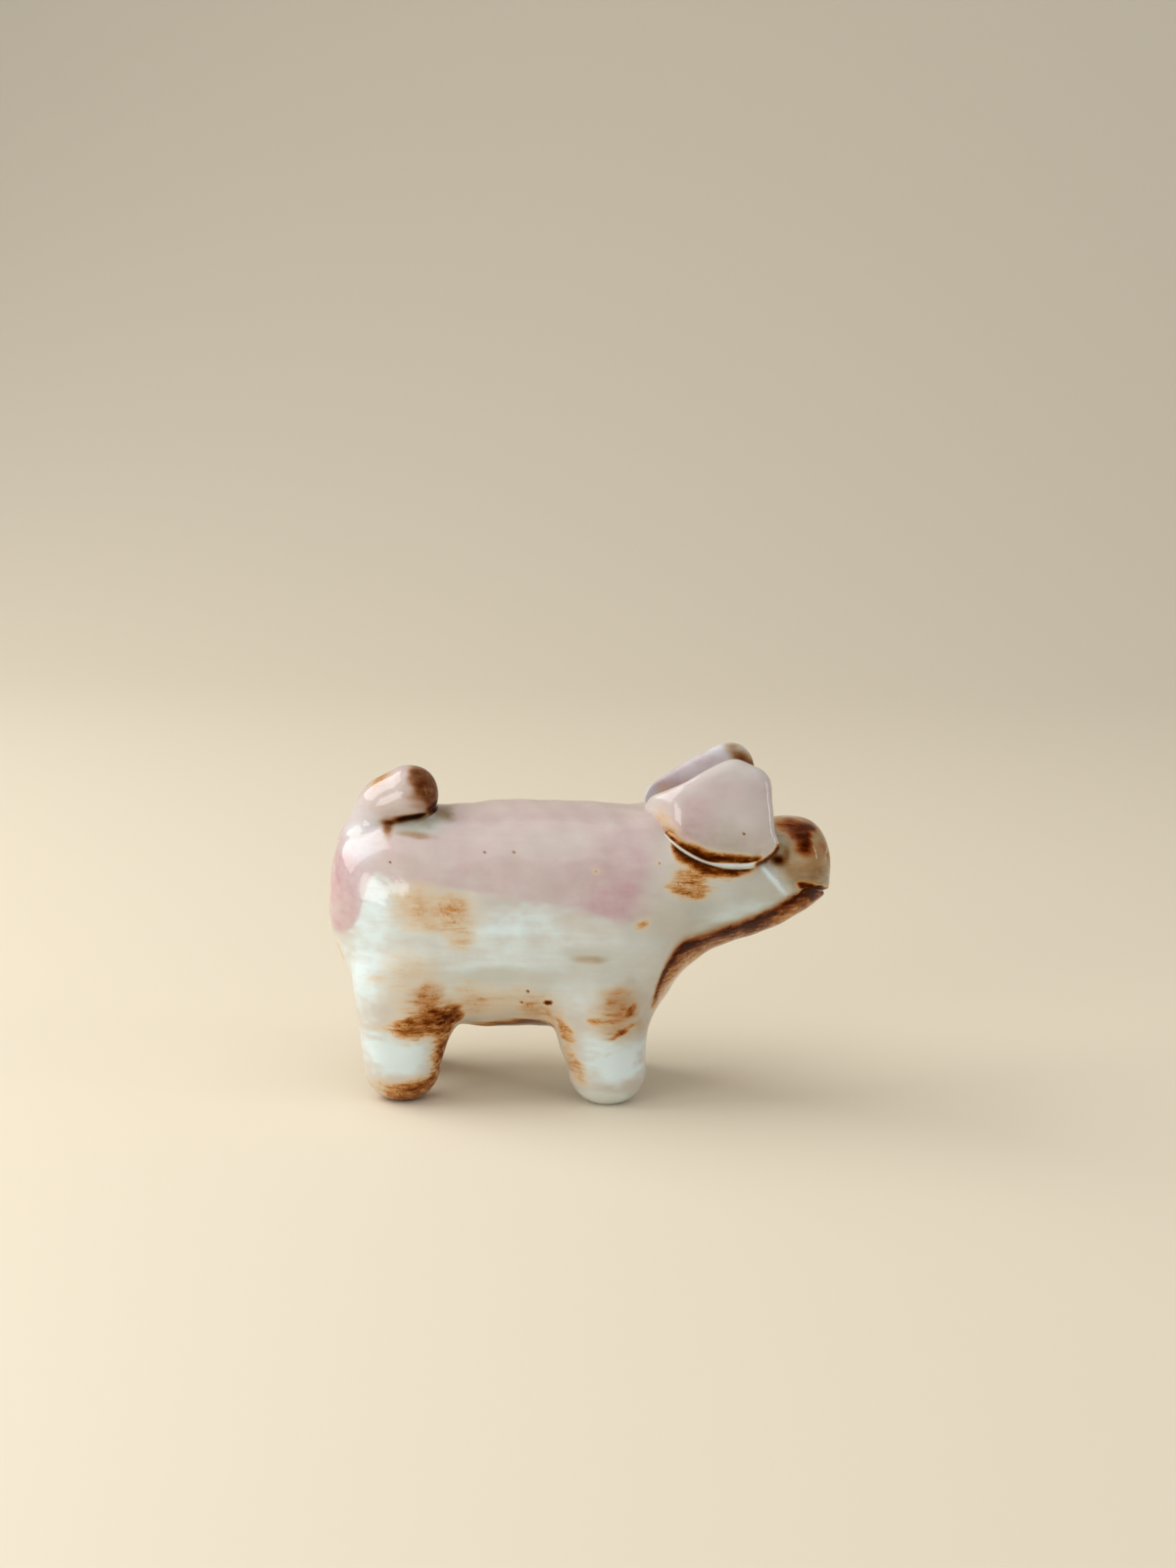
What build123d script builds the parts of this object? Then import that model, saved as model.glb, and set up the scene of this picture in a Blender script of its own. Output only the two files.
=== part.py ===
"""Hand-built glazed stoneware pig, about 64 mm long, standing on four short legs.

A potter makes such a pig from separate lumps of clay: a barrel for the torso, a blunt cone for the head,
a dome for the snout, two flat petals for the ears, a bent roll for the tail and four rolled legs. Each lump
is scored, wetted with slip and pressed on, so every seat is the surface of the lump under it.

The pig looks along +X, its left side is +Y and it stands on Z = 0, under the middle of its bounding box.
Lengths along X are measured from the middle of the torso, and heights from the table.
"""

import os
from math import cos, pi, radians, sin, sqrt

from build123d import *

# Torso: a barrel along X, closed at the rump and cut off flat at the neck
rump_behind = 22.9
back_height = 37.2
belly_height = 8.7
torso_width = 23.0
rump_tip_height = 24.9
rump_top_squareness = 3.2
rump_bottom_squareness = 2.6
rump_plan_squareness = 2.6
shoulder_ahead = 13.0
neck_ahead = 19.6

# Head: a blunt cone that goes on from the neck, as four sections and a chin
nape_ahead = 18.0
nape_top = 37.0
nape_bottom = 10.7
nape_width = 21.8
throat_ahead = 23.2
throat_top = 36.7
throat_bottom = 16.9
throat_width = 19.0
jowl_ahead = 28.4
jowl_top = 35.9
jowl_bottom = 19.6
jowl_width = 16.2
cheek_ahead = 33.6
cheek_top = 34.1
cheek_bottom = 21.0
cheek_width = 12.6
lip_ahead = 37.6
lip_top = 30.1
lip_bottom = 23.8
lip_width = 8.8
chin_ahead = 40.4
chin_height = 26.7

# Mouth: a knife cut that opens forwards, under the snout
mouth_corner_ahead = 36.4
mouth_corner_height = 27.7
upper_lip_slope = 10.0
lower_lip_slope = 22.0

# Snout: an upright dome pressed on the face, with its flat underside as the upper lip
snout_front_ahead = 41.0
snout_length = 9.6
snout_width = 10.4
snout_top_height = 36.2
snout_waist_height = 29.3
snout_edge_round = 0.6
nostril_width = 1.7
nostril_depth = 0.6
nostril_spacing = 3.8
nostril_rise = 2.0

# Ears: petals that lean together on top of the head. Their corners are measured in the petal from its root.
ear_root_ahead = 16.0
ear_root_height = 39.1
ear_root_inset = 5.1
ear_crest_along = 12.1
ear_crest_up = 5.8
ear_tip_along = 16.7
ear_tip_up = 4.0
ear_lobe_along = 18.6
ear_lobe_down = 7.4
ear_heel_along = 8.0
ear_heel_down = 8.0
ear_root_round = 2.5
ear_tip_round = 2.2
ear_lobe_round = 4.0
ear_heel_round = 8.0
ear_thickness = 2.4
ear_edge_round = 0.8
ear_lean = 14.0
ear_bulge_radius = 36.0

# Tail: a bent roll that leaves the rump, turns up and lies forward on the back
tail_base_width = 7.4
tail_crown_width = 7.2
tail_base_height = 29.7
tail_bend_behind = 12.8
tail_bend_height = 34.3
tail_bend_radius = 4.3
tail_turn = 136.0

# Legs: tapered rolls with domed feet, pressed flat where they stand
foot_width = 9.7
foot_flat_depth = 0.35
front_thigh_width = 12.2
front_thigh_height = 12.2
hind_thigh_width = 13.6
hind_thigh_height = 15.2
leg_top_width = 8.0
leg_top_height = 21.6
leg_flattening = 0.76
leg_track = 12.8
front_foot_ahead = 14.0
front_leg_lean = -9.0
hind_foot_behind = 13.2
hind_leg_lean = 2.0


def section(ahead, top, bottom, width):
    """An upright ellipse across the pig, from its bottom to its top height."""
    plane = Plane(origin=(ahead, 0, (top + bottom) / 2), x_dir=(0, 1, 0), z_dir=(1, 0, 0))
    return plane * Ellipse(width / 2, (top - bottom) / 2)


def rounded_end(share, squareness):
    """How wide a superellipse still is at a share of its length, from 1 in the middle to 0 at the tip."""
    return (1 - share**squareness) ** (1 / squareness)


def make_body():
    """Torso and head as one skin: ellipses that open from the rump as superellipses and taper to the chin."""
    steps = 8
    sections = [Vertex(-rump_behind, 0, rump_tip_height)]
    for step in range(1, steps + 1):
        share = cos(pi / 2 * step / steps)
        over = rounded_end(share, rump_top_squareness)
        under = rounded_end(share, rump_bottom_squareness)
        sections.append(
            section(
                -rump_behind * share,
                rump_tip_height + (back_height - rump_tip_height) * over,
                rump_tip_height - (rump_tip_height - belly_height) * under,
                torso_width * rounded_end(share, rump_plan_squareness),
            )
        )
    for share in (0.5, 1.0):
        sections.append(section(shoulder_ahead * share, back_height, belly_height, torso_width))
    sections.append(section(nape_ahead, nape_top, nape_bottom, nape_width))
    sections.append(section(throat_ahead, throat_top, throat_bottom, throat_width))
    sections.append(section(jowl_ahead, jowl_top, jowl_bottom, jowl_width))
    sections.append(section(cheek_ahead, cheek_top, cheek_bottom, cheek_width))
    sections.append(section(lip_ahead, lip_top, lip_bottom, lip_width))
    sections.append(Vertex(chin_ahead, 0, chin_height))
    return loft(sections)


def mouth_plane(slope):
    """A plane through the mouth's corner that falls forwards by a slope in degrees and faces up."""
    tilt = radians(slope)
    corner = (mouth_corner_ahead, 0, mouth_corner_height)
    return Plane(origin=corner, x_dir=(cos(tilt), 0, -sin(tilt)), z_dir=(sin(tilt), 0, cos(tilt)))


def ahead_above(slope):
    """The room ahead of the mouth's corner and above its sloping plane, larger than the head."""
    reach = snout_front_ahead
    return mouth_plane(slope) * Box(reach, reach, reach, align=(Align.MIN, Align.CENTER, Align.MIN))


def make_head(body, neck):
    """The part of the body ahead of the neck, with the room for the snout and the mouth cut away."""
    return split(body, bisect_by=neck, keep=Keep.TOP) - ahead_above(lower_lip_slope)


def make_snout(head):
    """A dome above the upper lip, seated on the face, with two poked nostrils in its front."""
    half_length = snout_length / 2
    half_width = snout_width / 2
    half_height = snout_top_height - snout_waist_height
    middle = snout_front_ahead - half_length
    dome = Pos(middle, 0, snout_waist_height) * scale(Sphere(1), by=(half_length, half_width, half_height))
    reach = snout_front_ahead
    above = Box(reach, reach, reach, align=(Align.CENTER, Align.CENTER, Align.MIN))
    dome &= mouth_plane(upper_lip_slope) * above
    dome = fillet(dome.faces().sort_by(Axis.Z)[0].edges(), snout_edge_round)
    across = nostril_spacing / 2
    height = snout_waist_height + nostril_rise
    ahead = middle + half_length * sqrt(1 - (across / half_width) ** 2 - (nostril_rise / half_height) ** 2)
    nostril = scale(Sphere(1), by=(nostril_depth, nostril_width / 2, nostril_width / 2))
    for side in (-1, 1):
        dome -= Pos(ahead, side * across, height) * nostril
    return dome - head


def make_ear(under):
    """A petal cut from a bowed plate and rounded at its edges, seated on the lumps under it."""
    tilt = radians(ear_lean)
    face = Plane(
        origin=(ear_root_ahead, ear_root_inset - nape_width / 2, ear_root_height),
        x_dir=(1, 0, 0),
        z_dir=(0, -cos(tilt), sin(tilt)),
    )
    rim = FilletPolyline(
        (0, 0),
        (ear_crest_along, ear_crest_up),
        (ear_tip_along, ear_tip_up),
        (ear_lobe_along, -ear_lobe_down),
        (ear_heel_along, -ear_heel_down),
        radius=[ear_root_round, ear_tip_round, ear_tip_round, ear_lobe_round, ear_heel_round],
        close=True,
    )
    petal = face * make_face(rim)
    middle = petal.center()
    bow = Pos(middle + face.z_dir * (ear_thickness / 2 - ear_bulge_radius))
    plate = bow * (Sphere(ear_bulge_radius) - Sphere(ear_bulge_radius - ear_thickness))
    ear = extrude(petal, amount=2 * ear_thickness, both=True) & plate
    ear = fillet(ear.edges(), ear_edge_round)
    return ear - under


def make_tail(under):
    """A roll whose middle line rises from the rump and turns forwards round a bend, seated on the torso."""
    bend = (-tail_bend_behind, tail_bend_height)
    start = Plane(origin=(bend[0] - tail_bend_radius, 0, tail_base_height), x_dir=(0, 1, 0))
    sections = [start * Circle(tail_base_width / 2)]
    bend_steps = 4
    tip_steps = 3

    def ring(turn, width):
        angle = radians(turn)
        plane = Plane(
            origin=(bend[0] - tail_bend_radius * cos(angle), 0, bend[1] + tail_bend_radius * sin(angle)),
            x_dir=(0, 1, 0),
            z_dir=(sin(angle), 0, cos(angle)),
        )
        sections.append(plane * Circle(width / 2))

    crown = 90.0
    for step in range(bend_steps + 1):
        share = step / bend_steps
        ring(crown * share, tail_base_width + (tail_crown_width - tail_base_width) * share)
    for step in range(1, tip_steps + 1):
        share = sin(pi / 2 * step / (tip_steps + 0.5))
        ring(crown + (tail_turn - crown) * share, tail_crown_width * rounded_end(share, 2))
    return loft(sections) - under


def make_leg(under, ahead, lean, thigh_width, thigh_height):
    """A right leg: a leaning tapered roll on a domed foot, cut flat by the table and seated on the torso."""
    foot = foot_width / 2
    dome = CenterArc((0, foot - foot_flat_depth), foot, -90, 72)
    shank = Spline(
        dome @ 1,
        (thigh_width / 2, thigh_height),
        (leg_top_width / 2, leg_top_height),
        tangents=(dome % 1, (0, 1)),
    )
    top = Line(shank @ 1, (0, leg_top_height))
    core = Line((0, leg_top_height), dome @ 0)
    roll = revolve(Plane.XZ * make_face([dome, shank, top, core]), Axis.Z)
    roll = scale(roll, by=(1, leg_flattening, 1))
    stand = Pos(ahead, -leg_track / 2, 0)
    table = Box(4 * foot_width, 4 * foot_width, foot_width, align=(Align.CENTER, Align.CENTER, Align.MAX))
    return stand * (Rot(0, lean, 0) * roll - table) - under


os.makedirs("parts", exist_ok=True)
body = make_body()
neck = Plane(origin=(neck_ahead, 0, (nape_top + nape_bottom) / 2), x_dir=(0, 1, 0), z_dir=(1, 0, 0))
torso = split(body, bisect_by=neck, keep=Keep.BOTTOM)
head = make_head(body, neck)
pieces = {"torso": torso, "head": head, "snout": make_snout(head), "tail": make_tail(body)}
rights = {
    "ear": make_ear(body),
    "leg_front": make_leg(body, front_foot_ahead, front_leg_lean, front_thigh_width, front_thigh_height),
    "leg_hind": make_leg(body, -hind_foot_behind, hind_leg_lean, hind_thigh_width, hind_thigh_height),
}
for name, piece in rights.items():
    pieces[f"{name}_right"] = piece
    pieces[f"{name}_left"] = mirror(piece, about=Plane.XZ)

whole = Compound(list(pieces.values())).bounding_box()
to_frame = Pos(-whole.center().X, -whole.center().Y, -whole.min.Z)
for name, piece in pieces.items():
    placed = to_frame * piece
    print(name, placed.is_valid, len(placed.solids()), round(placed.volume), placed.bounding_box())
    export_step(placed, f"parts/{name}.step")
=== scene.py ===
"""A hand-built stoneware pig, glazed milky white and mauve with iron stains, on a pale studio floor.

Lengths are millimetres in the part's frame: X towards the snout, Y to the pig's left, Z up from the table.
"""
from math import cos, pi, radians, sin, tan

import bpy
import numpy as np
from mathutils import Matrix, Vector


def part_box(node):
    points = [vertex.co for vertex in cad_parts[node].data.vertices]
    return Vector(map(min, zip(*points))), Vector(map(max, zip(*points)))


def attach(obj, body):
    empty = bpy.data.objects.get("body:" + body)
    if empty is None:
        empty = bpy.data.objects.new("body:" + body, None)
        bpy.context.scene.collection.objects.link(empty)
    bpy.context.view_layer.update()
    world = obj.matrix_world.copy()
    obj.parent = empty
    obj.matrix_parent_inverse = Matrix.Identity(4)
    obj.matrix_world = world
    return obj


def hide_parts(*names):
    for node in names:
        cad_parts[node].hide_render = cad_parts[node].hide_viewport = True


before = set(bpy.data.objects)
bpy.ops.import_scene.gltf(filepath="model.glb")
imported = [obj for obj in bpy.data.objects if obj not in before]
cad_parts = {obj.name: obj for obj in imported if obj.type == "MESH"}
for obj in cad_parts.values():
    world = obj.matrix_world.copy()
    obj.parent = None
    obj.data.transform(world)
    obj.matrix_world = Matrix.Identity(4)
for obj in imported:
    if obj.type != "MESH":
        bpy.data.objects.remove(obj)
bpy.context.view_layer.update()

# Torso
# The potter's largest lump: a barrel of stoneware clay, rolled and patted round and closed at the rump.
# The back swells a little, and the skin keeps the soft unevenness of the fingers. The other lumps are
# luted onto it with slip.

MM = 0.001


def node_box(node):
    """The lowest and highest corner of a node, in millimetres."""
    low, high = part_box(node)
    return np.array(low) / MM, np.array(high) / MM


def curve_through(x, stations, values):
    """A smooth curve through stations: cubic pieces, with the mean slope of both sides at each one."""
    stations = np.asarray(stations, float)
    values = np.asarray(values, float)
    steps = np.diff(values) / np.diff(stations)
    slopes = np.concatenate([steps[:1], (steps[1:] + steps[:-1]) / 2, steps[-1:]])
    x = np.clip(x, stations[0], stations[-1])
    i = np.clip(np.searchsorted(stations, x, side="right") - 1, 0, len(stations) - 2)
    width = stations[i + 1] - stations[i]
    t = (x - stations[i]) / width
    start = values[i] * (1 + 2 * t) + slopes[i] * width * t
    end = values[i + 1] * (3 - 2 * t) - slopes[i + 1] * width * (1 - t)
    return start * (1 - t) ** 2 + end * t**2


def smooth_step(x, start, end):
    """0 before the start, 1 after the end, and an S-curve between them."""
    t = np.clip((x - start) / (end - start), 0, 1)
    return t * t * (3 - 2 * t)


torso_low, torso_high = node_box("torso")
neck_x = torso_high[0]
rump_length = 22.9
rump_tip_z = 24.9
rump_top_squareness = 3.2
rump_bottom_squareness = 2.6
middle_x = torso_low[0] + rump_length
top_stations = (-14.0, -9.0, -4.0, 1.0, 6.0, 9.0, 14.2, 19.4, 24.6, 28.6, 31.6)
top_heights = (37.1, 37.6, 37.8, 37.5, 37.2, 37.1, 36.7, 35.9, 34.1, 30.6, 26.9)
bottom_stations = (3.0, 7.5, 9.9, 11.3, 12.7, 14.6, 16.7, 18.9, 22.7, 26.4, 29.5, 31.6)
bottom_heights = (8.2, 8.9, 10.6, 12.7, 14.9, 17.2, 18.75, 19.65, 20.95, 22.6, 24.8, 26.5)
width_stations = (-4.0, 4.0, 9.0, 14.2, 19.4, 24.6, 28.6, 31.6)
half_widths = (torso_high[1], torso_high[1], 10.9, 9.5, 8.1, 6.1, 4.2, 0.6)


def body_section(x):
    """Top, bottom and half width of the body across X. Behind the middle they close as superellipses."""
    share = np.clip((middle_x - x) / rump_length, 0, 0.9999)
    over = (1 - share**rump_top_squareness) ** (1 / rump_top_squareness)
    under = (1 - share**rump_bottom_squareness) ** (1 / rump_bottom_squareness)
    top = rump_tip_z + (curve_through(x, top_stations, top_heights) - rump_tip_z) * over
    bottom = rump_tip_z + (curve_through(x, bottom_stations, bottom_heights) - rump_tip_z) * under
    return top, bottom, curve_through(x, width_stations, half_widths) * under


def body_skin(x, turn):
    """The body's skin: an ellipse across X, with the turn counted from the top towards +Y."""
    top, bottom, half_width = body_section(x)
    y = half_width * np.sin(turn)
    z = (top + bottom) / 2 + (top - bottom) / 2 * np.cos(turn)
    return np.stack(np.broadcast_arrays(x, y, z), -1)


def slope_of(field, points):
    """The gradient of a field at many points, from central differences."""
    step = 0.02
    return np.stack([(field(points + e) - field(points - e)) / (2 * step) for e in step * np.eye(3)], -1)


def distance_by(shape):
    """Turns a shape that is 0 on a surface and grows outwards into about the distance from it."""
    def distance(points):
        """The shape's value over the length of its gradient."""
        return shape(points) / np.maximum(np.linalg.norm(slope_of(shape, points), axis=-1), 1e-6)
    return distance


def body_shape(points):
    """0 on the body's skin, and grows outwards.

    Ahead of the middle it is how far out a point lies in the ellipse of its cross-section, less 1. Behind
    it, the share of the way to the rump's tip joins in by a power mean.
    """
    x, y, z = np.moveaxis(points, -1, 0)
    share = np.maximum((middle_x - x) / rump_length, 0)
    top = curve_through(x, top_stations, top_heights)
    bottom = curve_through(x, bottom_stations, bottom_heights)
    ahead = np.sqrt(np.maximum(1 - share**2, 0))
    middle = rump_tip_z + ((top + bottom) / 2 - rump_tip_z) * ahead
    out = np.hypot(y / curve_through(x, width_stations, half_widths), 2 * (z - middle) / (top - bottom))
    upper = smooth_step(z, rump_tip_z - 6, rump_tip_z + 10)
    squareness = rump_bottom_squareness + (rump_top_squareness - rump_bottom_squareness) * upper
    return (share**squareness + (out + 1e-9) ** squareness) ** (1 / squareness) - 1


body_distance = distance_by(body_shape)


def unit(vectors):
    """Vectors made 1 long."""
    return vectors / np.maximum(np.linalg.norm(vectors, axis=-1, keepdims=True), 1e-9)


def settle(points, field, steps=6):
    """Moves points onto the surface where a field is 0, by short Newton steps along its gradient."""
    for _ in range(steps):
        slope = slope_of(field, points)
        step = field(points) / np.maximum(np.linalg.norm(slope, axis=-1), 0.2)
        points = points - np.clip(step, -0.5, 0.5)[..., None] * unit(slope)
    return points


broad_marks = 0.12
fine_marks = 0.05


def wobble(points):
    """Finger marks: two pairs of crossed waves that move the skin by about a tenth of a millimetre."""
    x, y, z = np.moveaxis(points, -1, 0)
    slow = np.sin(0.47 * x + 0.31 * z + 1.3) * np.sin(0.39 * z - 0.22 * y + 0.4)
    quick = np.sin(1.05 * x - 0.6 * z + 0.7 * y) * np.sin(0.9 * z + 0.5 * x + 2.1)
    return (broad_marks * slow + fine_marks * quick) * smooth_step(z, 0.5, 3.0)


def grid_normals(points):
    """Outward normals of a grid that closes round its second axis, from its two tangents."""
    along = np.gradient(points, axis=0)
    around = np.roll(points, -1, axis=1) - np.roll(points, 1, axis=1)
    normals = unit(np.cross(around, along))
    outward = np.sum(normals * (points - points.mean((0, 1))))
    return normals * np.sign(outward)


def closed_mesh(name, points, glaze_amounts):
    """A closed mesh from a grid whose first and last rows are poles, with glaze amounts at its vertices.

    Two fans close the poles and quads lie between the rings. All faces are turned round if they enclose a
    negative volume.
    """
    rows, columns = points.shape[:2]
    inner = points[1:-1].reshape(-1, 3)
    vertices = np.concatenate([points[:1, 0], inner, points[-1:, 0]])
    last = len(vertices) - 1
    ring = np.arange(columns)
    ahead = (ring + 1) % columns
    start = 1 + columns * np.arange(rows - 3)[:, None]
    below = start + columns
    quads = np.stack([start + ring, start + ahead, below + ahead, below + ring], -1).reshape(-1, 4)
    first_fan = np.stack([np.zeros_like(ring), 1 + ahead, 1 + ring], -1)
    end = last - columns
    last_fan = np.stack([np.full_like(ring, last), end + ring, end + ahead], -1)
    a, b, c = (vertices[quads[:, k]] for k in range(3))
    if np.sum(np.cross(a, b) * c) < 0:
        quads, first_fan, last_fan = quads[:, ::-1], first_fan[:, ::-1], last_fan[:, ::-1]
    mesh = bpy.data.meshes.new(name)
    faces = first_fan.tolist() + quads.tolist() + last_fan.tolist()
    mesh.from_pydata((vertices * MM).tolist(), [], faces)
    mesh.shade_smooth()
    for amount_name, amount in glaze_amounts.items():
        values = np.concatenate([amount[:1, 0], amount[1:-1].ravel(), amount[-1:, 0]])
        attribute = mesh.attributes.new(amount_name, "FLOAT", "POINT")
        attribute.data.foreach_set("value", values.astype(np.float32))
    piece = bpy.data.objects.new(name, mesh)
    bpy.context.scene.collection.objects.link(piece)
    return piece


def linear(colour):
    """An sRGB hex colour as linear red, green, blue and alpha."""
    parts = [int(colour[i:i + 2], 16) / 255 for i in (1, 3, 5)]
    return [p / 12.92 if p <= 0.04045 else ((p + 0.055) / 1.055) ** 2.4 for p in parts] + [1.0]


def add_node(tree, kind, inputs=(), output=0, **settings):
    """Adds a shader node with its settings and returns one of its outputs.

    An input is given by its name or number, as a value or as the output that feeds it.
    """
    node = tree.nodes.new(f"ShaderNode{kind}")
    for key, value in settings.items():
        setattr(node, key, value)
    for key, value in dict(inputs).items():
        if isinstance(value, bpy.types.NodeSocket):
            tree.links.new(value, node.inputs[key])
        else:
            node.inputs[key].default_value = value
    return node.outputs[output]


def glazed_stoneware(name):
    """Stoneware under a fired gloss glaze: a sharp, even shine over colours that lie softly in the glaze.

    The amounts on the mesh say which glaze was brushed on where, and clouds and long wipes make each one
    uneven. Milk, blush and thin glaze cover each other in turn; in a few places the milk is painted light,
    white that lightens faces which look down or lie in shade, or marks a highlight. Iron goes over them,
    from tan to nearly black, in brushmarks, dots, fine cracks and scratches, and under the ears some of it
    is painted shade. Umber is a clear brown wash over all of it.
    """
    material = bpy.data.materials.new(name)
    material.use_nodes = True
    tree = material.node_tree
    place = add_node(tree, "TexCoord", output="Object")
    wiped = add_node(tree, "Mapping", {"Vector": place, "Scale": (0.12, 0.5, 1.0)})
    brushed_on = add_node(tree, "Mapping", {"Vector": place, "Scale": (0.3, 0.6, 1.0)})
    slanted = {"Vector": place, "Rotation": (0.0, radians(14), 0.0), "Scale": (0.2, 0.5, 1.0)}
    drawn = add_node(tree, "Mapping", slanted)

    # Each pattern's coordinates, its size in millimetres from cloud to cloud, and its detail
    sizes = {
        "clouds": (place, 2.6, 5.0), "wipes": (wiped, 1.1, 4.0), "streaks": (brushed_on, 0.5, 5.0),
        "specks": (place, 0.4, 4.0), "crazing": (place, 1.4, 3.0), "hairs": (drawn, 0.5, 5.0),
        "peel": (place, 1.3, 2.0),
    }
    patterns = {}
    for pattern, (where, size, detail) in sizes.items():
        inputs = {"Vector": where, "Scale": 1 / (size * MM), "Detail": detail, "Roughness": 0.6}
        patterns[pattern] = add_node(tree, "TexNoise", inputs)

    # How much of each glaze is left at the least, and what clouds and wipes add to that
    swings = {
        "milk": (-0.8, 1.6, 2.0), "blush": (-0.2, 1.6, 0.8), "thin": (-0.2, 1.4, 1.0),
        "umber": (0.2, 0.9, 0.7), "iron": (0.25, 0.9, 0.6), "scratch": (0.0, 1.2, 0.8),
    }
    amounts = {}
    for amount, (least, cloudy, wiped_off) in swings.items():
        painted = add_node(tree, "Attribute", output="Fac", attribute_name=amount)
        clouding = {0: patterns["clouds"], 1: cloudy, 2: least}
        wiping = {0: patterns["wipes"], 1: wiped_off}
        wiping[2] = add_node(tree, "Math", clouding, operation="MULTIPLY_ADD")
        uneven = add_node(tree, "Math", wiping, operation="MULTIPLY_ADD")
        amounts[amount] = add_node(tree, "Math", {0: painted, 1: uneven}, operation="MULTIPLY")

    washed = amounts["iron"]
    thick = add_node(tree, "Math", {0: washed, 1: 0.6}, operation="MINIMUM")
    streaky = add_node(tree, "Math", {0: patterns["streaks"], 1: 3.0, 2: -1.5}, operation="MULTIPLY_ADD")
    brushmarks = add_node(tree, "Math", {0: streaky, 1: thick, 2: 1.0}, operation="MULTIPLY_ADD")
    dots = add_node(tree, "MapRange", {0: patterns["specks"], 1: 0.62, 2: 0.75, 3: 1.0, 4: 1.5})
    marks = add_node(tree, "Math", {0: brushmarks, 1: dots}, operation="MULTIPLY")
    off_line = add_node(tree, "Math", {0: patterns["crazing"], 1: 0.5}, operation="SUBTRACT")
    off_line = add_node(tree, "Math", {0: off_line}, operation="ABSOLUTE")
    cracks = add_node(tree, "MapRange", {0: off_line, 1: 0.0, 2: 0.02, 3: 1.0, 4: 0.0})
    broken = add_node(tree, "MapRange", {0: patterns["specks"], 1: 0.45, 2: 0.6})
    cracks = add_node(tree, "Math", {0: cracks, 1: broken}, operation="MULTIPLY")
    in_iron = add_node(tree, "MapRange", {0: washed, 1: 0.24, 2: 0.4, 4: 0.4})
    cracks = add_node(tree, "Math", {0: cracks, 1: in_iron}, operation="MULTIPLY")
    scratches = add_node(tree, "MapRange", {0: patterns["hairs"], 1: 0.45, 2: 0.75})
    iron = add_node(tree, "Math", {0: washed, 1: marks, 2: cracks}, operation="MULTIPLY_ADD")
    scratched = {0: amounts["scratch"], 1: scratches, 2: iron}
    iron = add_node(tree, "Math", scratched, operation="MULTIPLY_ADD")

    rust_stops = (
        (0.0, "#DCCDB0"), (0.22, "#D6B789"), (0.4, "#C08B4F"), (0.58, "#965920"), (0.78, "#6A3104"),
        (1.0, "#3E1200"),
    )
    wash_stops = ((0.0, "#FFFFFF"), (0.3, "#E2C9AC"), (0.6, "#B07F52"), (0.85, "#774220"), (1.0, "#481804"))
    rust = add_node(tree, "ValToRGB", {0: iron})
    wash = add_node(tree, "ValToRGB", {0: amounts["umber"]})
    for ramp, stops in ((rust, rust_stops), (wash, wash_stops)):
        elements = ramp.node.color_ramp.elements
        while len(elements) < len(stops):
            elements.new(0.5)
        for element, (position, colour) in zip(elements, stops):
            element.position = position
            element.color = linear(colour)

    colour = linear("#C8C0B3")
    for amount, tint in (("milk", "#D8E5E4"), ("blush", "#BE999B"), ("thin", "#857752")):
        covered = {0: amounts[amount], 6: colour, 7: linear(tint)}
        colour = add_node(tree, "Mix", covered, output=2, data_type="RGBA")
    cover = add_node(tree, "MapRange", {0: iron, 1: 0.02, 2: 0.4})
    colour = add_node(tree, "Mix", {0: cover, 6: colour, 7: rust}, output=2, data_type="RGBA")
    washed_over = {0: 1.0, 6: colour, 7: wash}
    colour = add_node(tree, "Mix", washed_over, output=2, data_type="RGBA", blend_type="MULTIPLY")

    # Where the glaze is stained its shine is weaker and browner
    stain = add_node(tree, "Math", {0: iron, 1: amounts["umber"]}, operation="MAXIMUM")
    browned = add_node(tree, "MapRange", {0: stain, 1: 0.3, 2: 0.75})
    browned = {0: browned, 6: linear("#FFFFFF"), 7: linear("#C07A3A")}
    shader = tree.nodes["Principled BSDF"].inputs
    tree.links.new(colour, shader["Base Color"])
    tree.links.new(add_node(tree, "Mix", browned, output=2, data_type="RGBA"), shader["Specular Tint"])
    weaker = add_node(tree, "MapRange", {0: stain, 1: 0.3, 2: 0.75, 3: 0.5, 4: 0.3})
    tree.links.new(weaker, shader["Specular IOR Level"])
    peel = {"Height": patterns["peel"], "Strength": 0.5, "Distance": 0.05 * MM}
    tree.links.new(add_node(tree, "Bump", peel), shader["Normal"])
    shader["Roughness"].default_value = 0.1
    shader["IOR"].default_value = 1.5
    return material


glaze = glazed_stoneware("glazed_stoneware")


def cloud(points, size, seed):
    """Smooth random clouds between -1 and 1, about a size in millimetres across."""
    cells = 32
    lattice = np.random.default_rng(seed).uniform(-1, 1, (cells, cells, cells))
    first = np.floor(points / size).astype(int)
    part = points / size - first
    part = part * part * (3 - 2 * part)
    total = 0
    for corner in np.ndindex(2, 2, 2):
        weight = np.prod(np.where(corner, part, 1 - part), -1)
        total = total + weight * lattice[tuple(np.moveaxis((first + corner) % cells, -1, 0))]
    return total


def ragged_edge(points):
    """Small uneven steps for the rim of a brushed patch, drawn out along the pig."""
    drawn_out = points * (0.45, 0.8, 1.0)
    return 0.26 * cloud(drawn_out, 1.7, 1) + 0.2 * cloud(drawn_out, 0.6, 2)


def own_side(points):
    """X and Z as seen from the side. The left side is shifted a little, as no two sides are alike."""
    x, y, z = np.moveaxis(points, -1, 0)
    left = smooth_step(y, -1.0, 1.0)
    x = x + left * 1.3 * np.sin(0.31 * z)
    return x, z + left * 0.9 * np.sin(0.27 * x + 1.0)


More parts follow.
